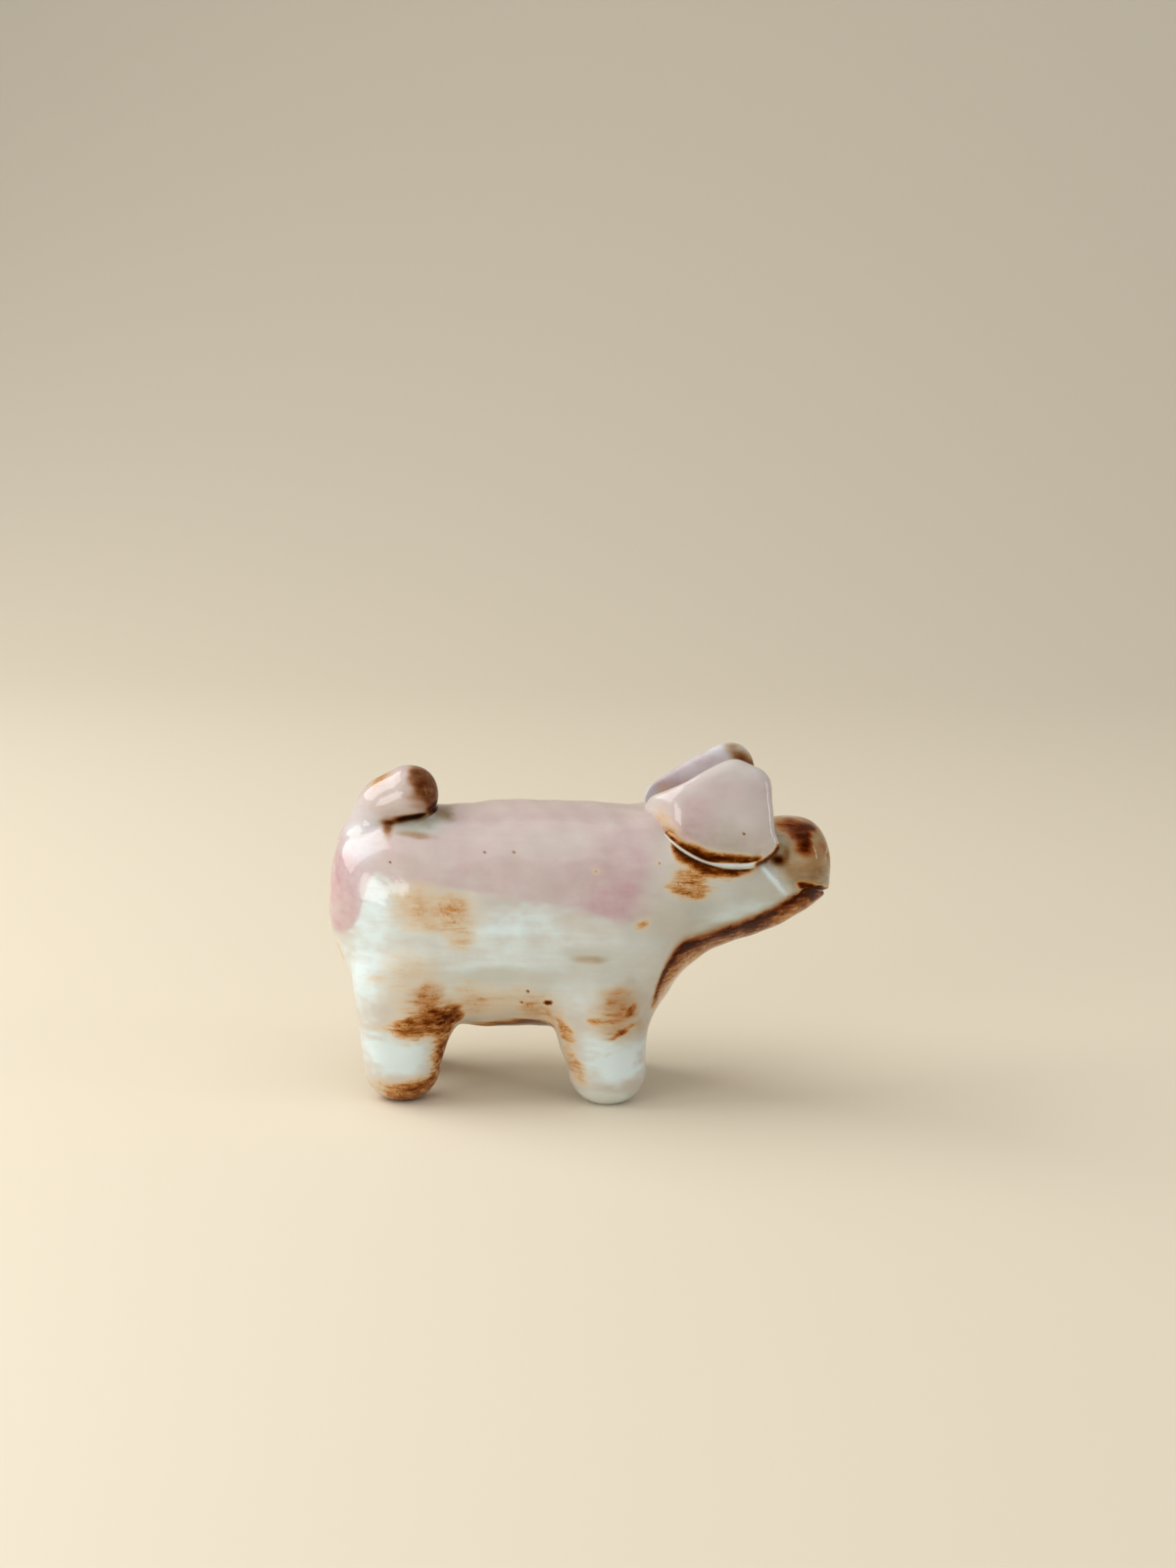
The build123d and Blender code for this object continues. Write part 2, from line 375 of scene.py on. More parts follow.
def brushed(points, dabs, start=0.0):
    """The amount left by soft dabs painted one over the other, on a ground with a start amount.

    A dab is x, z, half length, half height, tilt in degrees and amount, as seen from the right side. It is
    an ellipse with a soft, ragged rim, and brings what lies under it to its own amount.
    """
    x, z = own_side(points)
    ragged = ragged_edge(points)
    amount = np.full(x.shape, start)
    for dab_x, dab_z, half_length, half_height, tilt, strength in dabs:
        along = (x - dab_x) * cos(radians(tilt)) + (z - dab_z) * sin(radians(tilt))
        across = (z - dab_z) * cos(radians(tilt)) - (x - dab_x) * sin(radians(tilt))
        out = np.hypot(along / half_length, across / half_height) + ragged
        cover = 1 - smooth_step(out, 0.15, 1.3)
        amount = amount + (strength - amount) * cover
    return amount


# The blush's lower edge, and the dabs of each glaze
blush_edge_x = (-32.0, -30.0, -27.6, -26.3, -25.0, -23.3, -13.4, -8.5, -3.7, 1.2, 6.0, 8.3, 10.0)
blush_edge_z = (21.0, 21.5, 24.0, 28.5, 30.0, 29.4, 28.6, 27.6, 26.8, 25.9, 24.8, 25.2, 26.5)
blush_ground = 0.44
body_blush = (
    (-18, 33.0, 9, 6.0, 0, 0.45), (-30.5, 27.5, 4.5, 8.5, 0, 0.85), (-8, 29.0, 7.0, 2.2, -8, 0.44),
    (2.5, 28.6, 7.5, 3.4, -8, 0.48), (6.0, 31.5, 4.5, 5.5, 0, 0.65), (5.4, 27.4, 4.6, 2.6, 0, 0.95),
    (-3, 34.2, 4.5, 1.9, 0, 0.25), (-10, 34.5, 4.0, 2.0, 0, 0.35), (-23, 38.5, 6, 4.5, 0, 0.4),
    (-27.6, 34.5, 3.0, 4.0, 0, 0.42), (-20, 30.8, 4.0, 1.2, 0, 0.35), (-20.3, 35.6, 3.8, 1.3, 5, 0.0),
)
body_milk_and_painted_light = (
    (-9, 19.5, 23, 8.5, 0, 0.62), (18.5, 27.0, 8, 4.5, 12, 0.5), (-25, 25.5, 4.4, 3.8, 0, 1.0),
    (-7.5, 24.3, 6.0, 2.2, -5, 0.8), (3.5, 19, 6, 5, 0, 0.5), (-22.5, 7.2, 5.5, 3.2, 0, 1.5),
    (4.6, 6.8, 5.0, 3.6, 0, 1.5), (-16.8, 15.8, 1.2, 1.4, 0, 1.0), (-20.3, 35.6, 4.0, 1.3, 5, 0.8),
    # The dab at x 3.4 on the front feet's soles is painted light: white that lightens the downward faces in
    # place of light bounced up from the floor.
    (-20, 16.5, 5.0, 2.5, 0, 0.35), (-28.0, 33.5, 3.4, 5.0, 0, 0.85), (3.4, 1.2, 5.4, 1.8, 0, 1.3),
    # The last dab below, at x 20 under the cheeks, is painted light: white that lightens the downward faces
    # in place of light bounced up from the floor.
    (-27.0, 17.0, 3.4, 5.0, 0, 1.0), (20.0, 25.6, 5.0, 1.6, 16, 0.9),
)
body_thin_and_painted_light = (
    (17, 26.0, 12, 6.0, 12, 0.28), (4.0, 19.0, 8, 4.0, 0, 0.14), (-20.3, 35.6, 4.0, 1.3, 5, 0.62),
    (-17.2, 36.6, 1.7, 0.9, 0, 0.7), (-10, 17.5, 9, 1.6, 0, 0.2), (2, 21.0, 7, 0.8, 0, 0.22),
    # The last dab below, under the cheeks, takes the thin glaze away as painted light, with the milk dab at
    # the same place.
    (-9.5, 27.2, 4.0, 0.8, -4, 0.12), (6.0, 13.0, 3.0, 4.0, 0, 0.34), (20.0, 25.6, 5.0, 1.6, 16, 0.1),
)
body_umber = (
    # Shoulder, haunch and flank
    (5.6, 13.2, 3.4, 4.6, 0, 0.26), (-18.6, 13.0, 3.0, 4.0, 0, 0.14), (1.2, 20.1, 2.4, 0.6, 0, 0.3),
    # Specks
    (-8.2, 33.0, 0.2, 0.16, 0, 0.7), (-11.9, 32.9, 0.16, 0.15, 0, 1.0), (-23.6, 31.4, 0.16, 0.15, 0, 1.0),
    (-7.0, 13.8, 0.2, 0.18, 0, 1.2), (-6.2, 15.5, 0.2, 0.18, 0, 1.2),
)
under_tail_umber = (
    (-24.2, 35.1, 0.8, 1.2, 0, 0.55), (-17.3, 36.6, 1.6, 0.9, 0, 0.2), (-20.8, 34.5, 2.6, 0.4, -4, 0.36),
    (-21.4, 36.3, 3.1, 0.6, 12, 1.3),
)
under_tail_iron = ((-21.2, 36.35, 2.3, 0.34, 12, 1.4),)
body_iron = (
    # Haunch
    (-20.5, 15.5, 4.8, 6.2, 0, 0.2), (-18.4, 14.5, 2.0, 4.4, 0, 0.28), (-24.8, 16.8, 1.8, 0.7, 10, 0.2),
    (-24.6, 10.4, 1.7, 0.7, 0, 0.18),
    # Patch on the hip
    (-17.6, 26.0, 7.2, 3.4, 0, 0.26), (-20.0, 26.6, 4.2, 3.2, 0, 0.28), (-15.5, 25.4, 2.6, 3.0, 0, 0.31),
    (-14.8, 22.4, 2.2, 2.0, 0, 0.26),
    # Rump's edge and belly
    (-30.6, 17.6, 0.8, 2.6, 0, 0.3), (-9.5, 13.8, 7.4, 3.6, 0, 0.19), (-13.2, 14.0, 3.0, 3.0, 0, 0.27),
    (-5.4, 12.6, 2.8, 2.8, 0, 0.3), (-8.3, 9.5, 6.6, 1.3, 0, 0.72), (-5.2, 9.6, 2.6, 1.2, 0, 0.92),
    (-3.7, 13.8, 0.6, 0.36, 0, 1.6),
    # Hind legs
    (-20.6, 10.4, 3.4, 2.2, 10, 0.38), (-18.0, 11.5, 3.0, 2.8, 20, 0.6), (-16.2, 11.5, 1.6, 1.6, 35, 0.8),
    (-17.0, 6.4, 1.7, 5.0, 0, 0.5), (-21.5, 2.2, 5.8, 1.9, 5, 0.4), (-20.6, 1.4, 4.2, 2.0, 10, 0.52),
    (-21.2, 0.2, 5.2, 1.2, 0, 0.68),
    # Front legs
    (-1.8, 10.6, 3.3, 1.5, -67, 0.4), (-0.2, 5.4, 3.6, 1.6, -66, 0.31), (3.0, 1.2, 5.2, 1.9, 0, 0.15),
    (5.0, 12.8, 3.6, 4.0, 0, 0.24), (4.8, 15.9, 2.6, 0.9, 6, 0.26), (2.0, 11.9, 1.4, 0.9, 0, 0.28),
    (6.8, 13.3, 1.3, 0.55, 55, 0.58), (5.9, 10.6, 1.6, 0.5, 32, 0.56),
    # Chin, shoulder, neck and cheek
    (29.4, 26.6, 2.2, 1.0, -33, 1.2), (8.0, 24.8, 1.3, 0.8, 30, 0.45), (9.9, 31.9, 0.35, 0.3, 0, 0.45),
    (2.0, 31.0, 0.5, 0.3, 0, 0.4), (13.6, 30.2, 2.8, 2.2, -20, 0.46), (13.9, 28.6, 3.0, 1.4, -12, 0.33),
)
body_scratch = (
    (-22, 15.5, 6, 5.0, 0, 0.14), (-19.5, 11.2, 4.5, 3.4, 20, 0.42), (-17.4, 6, 2.0, 5, 0, 0.4),
    (-21.5, 2, 6.0, 2.6, 0, 0.3), (-8.5, 13.5, 7, 3.6, 0, 0.14), (-10, 18.5, 12, 1.6, 0, 0.08),
    (3, 20.3, 6, 1.2, 0, 0.12), (-14, 20.8, 5, 1.7, -10, 0.13), (5, 13, 3.6, 3.8, 0, 0.3),
    (-1.0, 8, 4.5, 1.8, -63, 0.2), (11.5, 15.5, 2.2, 4.5, -15, 0.3), (14, 29.3, 4, 2.2, -10, 0.35),
    (20, 30, 6, 1.3, 0, 0.3), (-30, 17, 2, 3, 0, 0.2), (-9, 33.8, 2.6, 1.1, -20, 0.1),
    (2, 31, 1.4, 0.9, 0, 0.2), (-15.5, 25, 3, 3.4, 0, 0.16),
)
jaw_line_x = (9.2, 10.4, 11.5, 12.4, 15.2, 19.6, 23.0, 25.7, 28.0, 31.5)
jaw_line_z = (12.5, 17.2, 19.6, 20.8, 22.0, 23.4, 24.7, 25.95, 27.6, 28.0)
ear_line_x = (10.6, 12.4, 14.2, 16.7, 19.1, 21.0, 23.4)
ear_line_z = (34.6, 33.3, 32.2, 31.3, 31.0, 31.2, 32.0)


def brushed_glaze(points):
    """The amounts of glaze that were brushed over body, legs and tail together.

    The blush ends at a wavy lower edge and fades at the neck, but goes on over the crown. Jaw and throat
    were left bare under a dark line, and the brown fades on the chest. Iron runs out from under the ears,
    and its band on the cheek under each ear's lip is also painted shade under the overhang. The tail's
    crease is dark on the right. Some milk is painted light, on the front feet's soles and under the cheeks.
    """
    x, z = own_side(points)
    ragged = ragged_edge(points)
    above = z - curve_through(x, blush_edge_x, blush_edge_z) + 0.8 * ragged
    behind_neck = 1 - smooth_step(x - 0.35 * (z - 30) + 2.5 * ragged, 6.5, 11.5)
    under = curve_through(x, jaw_line_x, jaw_line_z) - z + 0.7 * ragged
    chest = smooth_step(x + 0.8 * ragged, 8.8, 10.2) * smooth_step(z + 3.0 * ragged, 9.0, 17.0)
    bare = (0.66 - 0.36 * smooth_step(under, 0.8, 5.0)) * (1 + 0.28 * cloud(points, 2.8, 7))
    jaw = chest * (bare * smooth_step(under, -1.2, 0.4) + 0.34 * np.exp(-(((under - 0.5) / 0.6) ** 2)))
    jaw_edge = chest * 0.55 * np.exp(-(((under + 0.2) / 0.8) ** 2))
    # Under each ear's lip lies a band of iron, which is also painted shade under the ear's overhang.
    below = curve_through(x, ear_line_x, ear_line_z) - z + 0.6 * ragged
    under_ear_band_width = np.where(below > 0, 1.4 - 0.6 * smooth_step(x, 14.0, 18.0), 2.5)
    ear_run_and_painted_shade = np.exp(-((below / under_ear_band_width) ** 2))
    ear_run_and_painted_shade = ear_run_and_painted_shade * (0.85 + 0.3 * cloud(points, 2.2, 6))
    ear_run_and_painted_shade = ear_run_and_painted_shade * smooth_step(x, 10.8, 12.0) * (1 - smooth_step(x, 23.0, 24.2))
    right = 1 - smooth_step(points[..., 1], -2.2, -0.6)
    crown = 0.45 * smooth_step(x, 8.0, 11.0) * smooth_step(z - 0.2 * np.abs(points[..., 1]), 32.2, 34.2)
    blush = brushed(points, body_blush, blush_ground) * smooth_step(above, -0.5, 0.65) * behind_neck
    umber = np.maximum(brushed(points, body_umber), right * brushed(points, under_tail_umber))
    iron = np.maximum(brushed(points, body_iron), right * brushed(points, under_tail_iron))
    return {
        "milk": brushed(points, body_milk_and_painted_light),
        "blush": np.maximum(blush, crown),
        "thin": np.clip(brushed(points, body_thin_and_painted_light) + 0.09 * cloud(points, 3.0, 4), 0, 1),
        "umber": np.maximum(umber, jaw_edge),
        "iron": np.maximum(iron, np.maximum(jaw, ear_run_and_painted_shade)),
        "scratch": brushed(points, body_scratch),
    }


def finish_piece(node, points, glaze_amounts=brushed_glaze):
    """Adds the finger marks, makes the mesh and its glaze, and puts the piece in place of its node."""
    points = points + wobble(points)[..., None] * grid_normals(points)
    piece = closed_mesh(f"{node}_skin", points, glaze_amounts(points))
    piece.data.materials.append(glaze)
    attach(piece, "root")
    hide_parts(node)


def ear_root_swell(points):
    """How far the neck's skin is drawn up round the roots of the ears: a soft bump at each of them."""
    x, y, z = np.moveaxis(points, -1, 0)
    out = ((x - 10.0) / 3.2) ** 2 + ((np.abs(y) - 3.6) / 2.4) ** 2 + ((z - 37.0) / 3.0) ** 2
    return 0.9 * np.exp(-out)


rump_rows = 130
barrel_rows = 110
torso_turns = 360
seam_overlap = 1.4
seam_sink = 0.3
whole_turn = np.linspace(0, 2 * pi, torso_turns, endpoint=False)
rump_x = middle_x - rump_length * np.cos(np.linspace(0, pi / 2, rump_rows))
barrel_x = np.linspace(middle_x, neck_x + seam_overlap, barrel_rows)[1:]
torso_x = np.concatenate([rump_x, barrel_x])[:, None]
torso_skin = settle(body_skin(torso_x, whole_turn), body_distance, 3)


def sink_past(points, depth):
    """Moves a grid's rows inwards by a depth for each row, along its normals."""
    return points - depth * grid_normals(points)


past = np.clip((torso_x - neck_x) / seam_overlap, 0, 1)[..., None]
torso_skin = sink_past(torso_skin, seam_sink * past**2 - ear_root_swell(torso_skin)[..., None])
torso_skin[0] = torso_skin[0].mean(0)
neck_middle = torso_skin[-1].mean(0)
torso_skin = np.concatenate([torso_skin, np.broadcast_to(neck_middle, (1, torso_turns, 3))])
finish_piece("torso", torso_skin)

# Head
# A blunt cone of clay that goes on from the neck to the chin, with its skin run smoothly into the torso's.
# A knife cut left the lower lip, and the snout pushed up a ridge along the crease of each cheek.

chin_x = node_box("head")[1][0]
mouth_corner = np.array([28.5, 0.0, 28.3])
lower_lip_slope = tan(radians(33))
head_rows = 120
head_x = np.linspace(neck_x - seam_overlap, chin_x, head_rows)[:, None]
head_skin = body_skin(head_x, whole_turn)
before = np.clip((neck_x - head_x) / seam_overlap, 0, 1)[..., None]
head_skin = sink_past(head_skin, seam_sink * before**2 - ear_root_swell(head_skin)[..., None])


def lower_lip(x):
    """The height of the lower lip's cut, which falls forwards from the mouth's corner."""
    return mouth_corner[2] - lower_lip_slope * (x - mouth_corner[0])


cut = np.minimum(head_skin[..., 2], lower_lip(head_skin[..., 0]))
head_skin[..., 2] = np.where(head_skin[..., 0] > mouth_corner[0], cut, head_skin[..., 2])
head_ends = [np.broadcast_to(head_skin[i].mean(0), (1, torso_turns, 3)) for i in (0, -1)]
head_skin = np.concatenate([head_ends[0], head_skin, head_ends[1]])
crease_top = np.array([22.4, 31.9])
crease_end = np.array([26.3, 27.2])
crease_length = np.linalg.norm(crease_end - crease_top)
crease_run = (crease_end - crease_top) / crease_length
ridge_height = 0.3
ridge_width = 0.32


def behind_crease(points):
    """How far a point lies behind the crease between cheek and snout, a slanting line from the side."""
    x = points[..., 0] - crease_top[0]
    z = points[..., 2] - crease_top[1]
    return x * crease_run[1] - z * crease_run[0]


def crease_ridge(points):
    """How high the ridge along each cheek's crease stands: a bell across it that fades at both ends."""
    x, y, z = np.moveaxis(points, -1, 0)
    along = (x - crease_top[0]) * crease_run[0] + (z - crease_top[1]) * crease_run[1]
    ends = smooth_step(along, -0.2, 1.2)
    ends = ends * (1 - smooth_step(along, crease_length - 1.5, crease_length + 0.3))
    bell = np.exp(-(((behind_crease(points) - 0.1) / ridge_width) ** 2))
    return ridge_height * bell * ends * smooth_step(np.abs(y), 2.5, 4.0)


def face_glaze_with_painted_highlight(points):
    """The brushed glaze, with a painted highlight: white on the crease's ridge that stands for a glint of
    light along it.
    """
    amounts = brushed_glaze(points)
    # Painted highlight: the ridge is brought to white, and the other glazes are taken off it.
    ridge = np.clip(2.8 * crease_ridge(points), 0, 1)
    amounts["milk"] = amounts["milk"] + (1.5 - amounts["milk"]) * ridge
    for name in ("thin", "umber", "iron", "scratch"):
        amounts[name] = amounts[name] * (1 - ridge)
    return amounts


head_skin = sink_past(head_skin, -crease_ridge(head_skin)[..., None])
finish_piece("head", head_skin, face_glaze_with_painted_highlight)

# Snout
# A dome of the same clay, pressed upright on the face and smoothed into the cheeks. Its flat underside is
# the upper lip, over the cut of the mouth, and two nostrils are poked into its front.


def smooth_union(first, second, blend):
    """The nearer of two distances, pulled down by a cubic where they differ by less than the blend."""
    close = np.maximum(blend - np.abs(first - second), 0) / blend
    return np.minimum(first, second) - close**3 * blend / 6


def luted(shape, own, base, blend, turns, rows, flare_rows, reach):
    """A lump luted onto a base, from its free tip to where it dies out on the base.

    Each line of the lump, from t = 0 at the tip to t = 1 at its root inside the base, is cut where it
    enters the base. It then walks on along the base for its reach, away from the lump, and the grid settles
    on the smooth union of the two. The last rows dive under the base's skin and close there.
    """
    turn = np.linspace(0, 2 * pi, turns, endpoint=False)
    samples = np.linspace(0, 1, 300)
    depth = base(shape(samples[:, None], turn))
    entry = np.argmax(depth < 0, axis=0)
    column = np.arange(turns)
    outside = depth[entry - 1, column]
    share = outside / (outside - depth[entry, column])
    join_at = samples[entry - 1] + share * (samples[1] - samples[0])
    climb = np.linspace(0, 1, rows)[:, None]
    free = shape(climb * join_at, turn)
    join = free[-1]
    away = unit(slope_of(own, join))
    spread = np.linspace(0, 1, flare_rows + 1)[1:]
    flare = [join]
    for _ in spread:
        up = unit(slope_of(base, flare[-1]))
        away = unit(away - np.sum(away * up, -1, keepdims=True) * up)
        flare.append(settle(flare[-1] + reach / flare_rows * away, base, 2))
    skin = np.concatenate([free, flare[1:]])
    hide = 0.003
    dive_depth = 0.35
    dive = np.concatenate([np.zeros(rows), hide + dive_depth * spread**8])[:, None]
    soften = np.concatenate([np.ones(rows), 1 - smooth_step(spread, 0.2, 0.95)])[:, None]

    def union(points):
        """The smooth union of lump and base, whose blend runs out along the flare as it dives."""
        return smooth_union(own(points), base(points), blend(points) * soften + 1e-3) + dive

    near = base(skin) < 1.1 * blend(skin)
    skin = np.where(near[..., None], settle(skin, union), skin)
    end = skin[-1].mean(0) - unit(slope_of(base, skin[-1])).mean(0)
    return np.concatenate([skin, np.broadcast_to(end, (1, turns, 3))])


snout_high = node_box("snout")[1]
snout_half = np.array([5.9, 5.9, 6.9])
snout_middle = np.array([snout_high[0] - snout_half[0], 0.0, snout_high[2] - snout_half[2]])
upper_lip_slope = tan(radians(20))
jowl_slope = tan(radians(25))
upper_lip_round = 0.5
snout_squareness = 2.4


def upper_lip(x):
    """The height of the snout's underside, which falls forwards and backwards from the mouth's corner."""
    ahead = x - mouth_corner[0]
    return mouth_corner[2] + 0.1 - np.where(ahead > 0, upper_lip_slope * ahead, -jowl_slope * ahead)


def snout_dome(t, turn):
    """A squarish ellipsoid from its front pole to its back pole, pressed flat below the upper lip."""
    angle = pi * t
    ring = np.sin(angle)
    ball = np.stack(np.broadcast_arrays(np.cos(angle), ring * np.sin(turn), ring * np.cos(turn)), -1)
    length = np.sum(np.abs(ball) ** snout_squareness, -1, keepdims=True) ** (1 / snout_squareness)
    points = snout_middle + snout_half * ball / length
    over = points[..., 2] - upper_lip(points[..., 0])
    pressed = (over + np.sqrt(over**2 + upper_lip_round**2)) / 2
    points[..., 2] += pressed - over
    return points


def snout_shape(points):
    """0 on the snout: how far a point lies out of its ellipsoid, under the lip or behind the crease."""
    share = np.abs((points - snout_middle) / snout_half)
    dome = np.sum(share**snout_squareness, -1) ** (1 / snout_squareness) - 1
    below = (upper_lip(points[..., 0]) - points[..., 2]) / snout_half[2]
    return np.maximum(dome, np.maximum(below, behind_crease(points) / snout_half[0]))


def face_distance(points):
    """The distance from the head without the room that the knife opened for the mouth."""
    room = np.maximum(mouth_corner[0] - points[..., 0], lower_lip(points[..., 0]) - points[..., 2])
    return np.maximum(body_distance(points), -room)


def snout_blend(points):
    """The width of the snout's blend, soft on the face and sharp in the mouth."""
    x, z = points[..., 0], points[..., 2]
    return 0.15 + 1.0 * (1 - smooth_step(x, 27.0, 28.6) * (1 - smooth_step(z, 28.5, 30.5)))


snout_skin = luted(
    snout_dome, distance_by(snout_shape), face_distance, snout_blend,
    turns=160, rows=70, flare_rows=14, reach=1.6,
)
snout_iron = (
    (28.6, 32.6, 4.6, 4.4, 0, 0.16), (27.0, 35.7, 3.6, 1.6, -10, 0.5), (28.2, 34.1, 2.0, 1.8, -35, 0.74),
    (30.3, 33.2, 1.5, 1.7, 10, 0.26), (28.8, 29.6, 2.8, 1.0, 0, 0.08), (30.0, 27.9, 2.6, 0.6, -20, 1.3),
)
snout_umber = (
    (28.4, 32.6, 5.0, 4.6, 0, 0.14), (27.0, 35.7, 3.8, 1.7, -10, 0.58), (28.2, 34.1, 2.2, 2.0, -35, 1.05),
    (30.3, 33.2, 1.6, 1.8, 10, 0.42), (28.4, 30.4, 3.4, 1.6, 0, 0.37), (24.5, 31.7, 1.7, 0.8, 10, 1.1),
    (25.9, 32.5, 0.6, 1.2, 0, 0.5),
)
nostril_z = 31.3
nostril_y = 1.9
nostril_depth = 0.9


def nostrils(points):
    """1 in the middle of the two poked nostrils in the snout's front, falling to 0 round them."""
    x, y, z = np.moveaxis(points, -1, 0)
    out = np.hypot((np.abs(y) - nostril_y) / 0.8, (z - nostril_z) / 0.9)
    return np.exp(-(out**3)) * (x > snout_middle[0])


def snout_glaze(points):
    """Thin grey glaze on the snout, with iron blotches, that runs into the cheek's glaze at the crease."""
    own = {
        "blush": 0.0,
        "milk": 0.15,
        "thin": 0.85 + 0.3 * cloud(points, 2.5, 5),
        "umber": brushed(points, snout_umber),
        "iron": np.maximum(brushed(points, snout_iron), 0.9 * nostrils(points)),
        "scratch": 0.12,
    }
    share = smooth_step(-behind_crease(points), 0.2, 2.2)
    # Near the crease the cheek's amounts bring in the painted highlight on the ridge.
    return {name: cheek + (own[name] - cheek) * share for name, cheek in face_glaze_with_painted_highlight(points).items()}


snout_skin[..., 0] -= nostril_depth * nostrils(snout_skin)
snout_skin = sink_past(snout_skin, -crease_ridge(snout_skin)[..., None])
finish_piece("snout", snout_skin, snout_glaze)

# Legs
# Four coils of clay rolled between the fingers, each with a round foot that was pressed flat on the board.
# Their joints with the torso were smoothed over with a wet thumb.

foot_flat = 0.35


def make_leg(node, side, heights, middles, half_lengths, half_widths, track, blend_width):
    """A leg from its sole to its root in the torso: ellipses across Z round a leaning middle line."""
    foot_height = heights[0]

    def section(z):
        """The ellipse at a height: its middle in X and Y and its half sizes, as in a ball at the foot."""
        low = np.clip((foot_height - z) / (foot_height + foot_flat), 0, 0.9999)
        dome = np.sqrt(1 - low**2)
        middle = curve_through(z, heights, middles)
        across = side * curve_through(z, heights, track)
        length = curve_through(z, heights, half_lengths) * dome
        return middle, across, length, curve_through(z, heights, half_widths) * dome

    def lines(t, turn):
        """From the middle of the sole at t = 0 out to its edge, then up the leg to its root at t = 1."""
        sole = 0.06
        z = heights[-1] * np.clip((t - sole) / (1 - sole), 0, 1)
        wide = np.clip(t / sole, 0, 1)
        middle, across, length, width = section(z)
        x = middle + wide * length * np.cos(turn)
        y = across + wide * width * np.sin(turn)
        return np.stack(np.broadcast_arrays(x, y, z), -1)

    def shape(points):
        """0 on the leg: how far out a point lies in the ellipse at its height, less 1."""
        x, y, z = np.moveaxis(points, -1, 0)
        middle, across, length, width = section(z)
        return np.hypot((x - middle) / length, (y - across) / width) - 1

    skin = luted(
        lines, distance_by(shape), body_distance, lambda points: blend_width,
        turns=160, rows=90, flare_rows=28, reach=7.5,
    )
    finish_piece(node, skin)


for side_name, side in (("right", -1), ("left", 1)):
    make_leg(
        f"leg_front_{side_name}", side,
        heights=(4.4, 7.0, 9.5, 12.5, 16.0, 19.0, 21.5),
        middles=(3.95, 3.4, 3.2, 3.1, 2.8, 2.5, 2.3),
        half_lengths=(5.0, 5.5, 5.8, 5.9, 5.2, 4.0, 2.0),
        half_widths=(3.7, 3.9, 4.2, 4.4, 4.2, 3.4, 1.6),
        track=(6.4, 6.4, 6.4, 6.3, 6.1, 5.9, 5.8),
        blend_width=3.6,
    )
    make_leg(
        f"leg_hind_{side_name}", side,
        heights=(4.5, 7.2, 10.0, 13.0, 16.0, 19.0, 23.0),
        middles=(-22.2, -21.9, -21.6, -21.5, -21.4, -21.2, -21.0),
        half_lengths=(4.9, 5.5, 6.1, 6.8, 6.9, 5.9, 2.6),
        half_widths=(3.8, 4.0, 4.2, 4.4, 4.5, 4.4, 2.2),
        track=(6.4, 6.4, 6.4, 6.3, 6.1, 5.9, 5.8),
        blend_width=3.6,
    )

# Tail
# A fat coil of clay that leaves the rump, turns up and lies forward on the back. It was smoothed over at
# its root, pinched off round at its tip, and stained brown there.

tail_x = (-21.8, -24.4, -26.2, -27.4, -27.6)
tail_y = (-1.7, -0.9, -0.3, 0.0, 0.0)
tail_z = (38.55, 37.1, 34.5, 31.5, 29.0)
tail_radii = (3.75, 3.7, 3.3, 3.0, 3.0)
tail_shares = (0.0, 0.25, 0.5, 0.75, 1.0)


def tail_line(share):
    """The tail's middle line and its radius, from the middle of the tip's ball at 0 to the root at 1."""
    middle = [curve_through(share, tail_shares, values) for values in (tail_x, tail_y, tail_z)]
    return np.stack(middle, -1), curve_through(share, tail_shares, tail_radii)


def tail_coil(t, turn):
    """Half a ball at the tip, then circles round the middle line down into the rump."""
    tip_share = 0.3
    share = np.clip((t - tip_share) / (1 - tip_share), 0, 1)
    ball = np.clip(t / tip_share, 0, 1) * pi / 2
    middle, radius = tail_line(share)
    towards_root = unit(tail_line(share + 0.01)[0] - tail_line(share - 0.01)[0])
    above = unit(np.cross(towards_root, (0, 1, 0)))
    beside = np.cross(above, towards_root)
    ring = above * np.cos(turn)[..., None] + beside * np.sin(turn)[..., None]
    ball = np.broadcast_to(ball, ring.shape[:-1])[..., None]
    return middle + radius[..., None] * (np.sin(ball) * ring - np.cos(ball) * towards_root)


def tail_distance(points):
    """The distance from the nearest of many balls along the tail's middle line."""
    middles, radii = tail_line(np.linspace(0, 1, 60))
    return np.min(np.linalg.norm(points[..., None, :] - middles, axis=-1) - radii, -1)


def tail_blend(points):
    """The width of the tail's blend: wide on the rump, a sharp crease where the coil lies on the back."""
    return 0.4 + 2.8 * smooth_step(-points[..., 0], 24.5, 28.0)


tail_umber = (
    (-18.7, 39.6, 2.8, 4.6, 10, 0.62), (-19.7, 40.5, 3.2, 1.5, -59, 0.84), (-18.5, 37.2, 1.3, 1.5, 0, 1.0),
    (-25.2, 40.9, 2.2, 0.7, 40, 0.3),
)
tail_iron = ((-25.2, 40.9, 2.2, 0.7, 40, 0.34),)


def tail_glaze(points):
    """The brushed glaze, with a brown tip and a rusty sliver on the outside of the bend."""
    amounts = brushed_glaze(points)
    for name, dabs in (("umber", tail_umber), ("iron", tail_iron)):
        amounts[name] = np.maximum(amounts[name], brushed(points, dabs))
    return amounts


tail_skin = luted(
    tail_coil, tail_distance, body_distance, tail_blend, turns=160, rows=90, flare_rows=16, reach=3.2,
)
finish_piece("tail", tail_skin, tail_glaze)

# Ears
# Two petals of clay, pinched flat and pressed on the sides of the head so that they lean together. The
# thumb that pressed them on left a groove along the lower rim, and a thin lip of clay outside it.

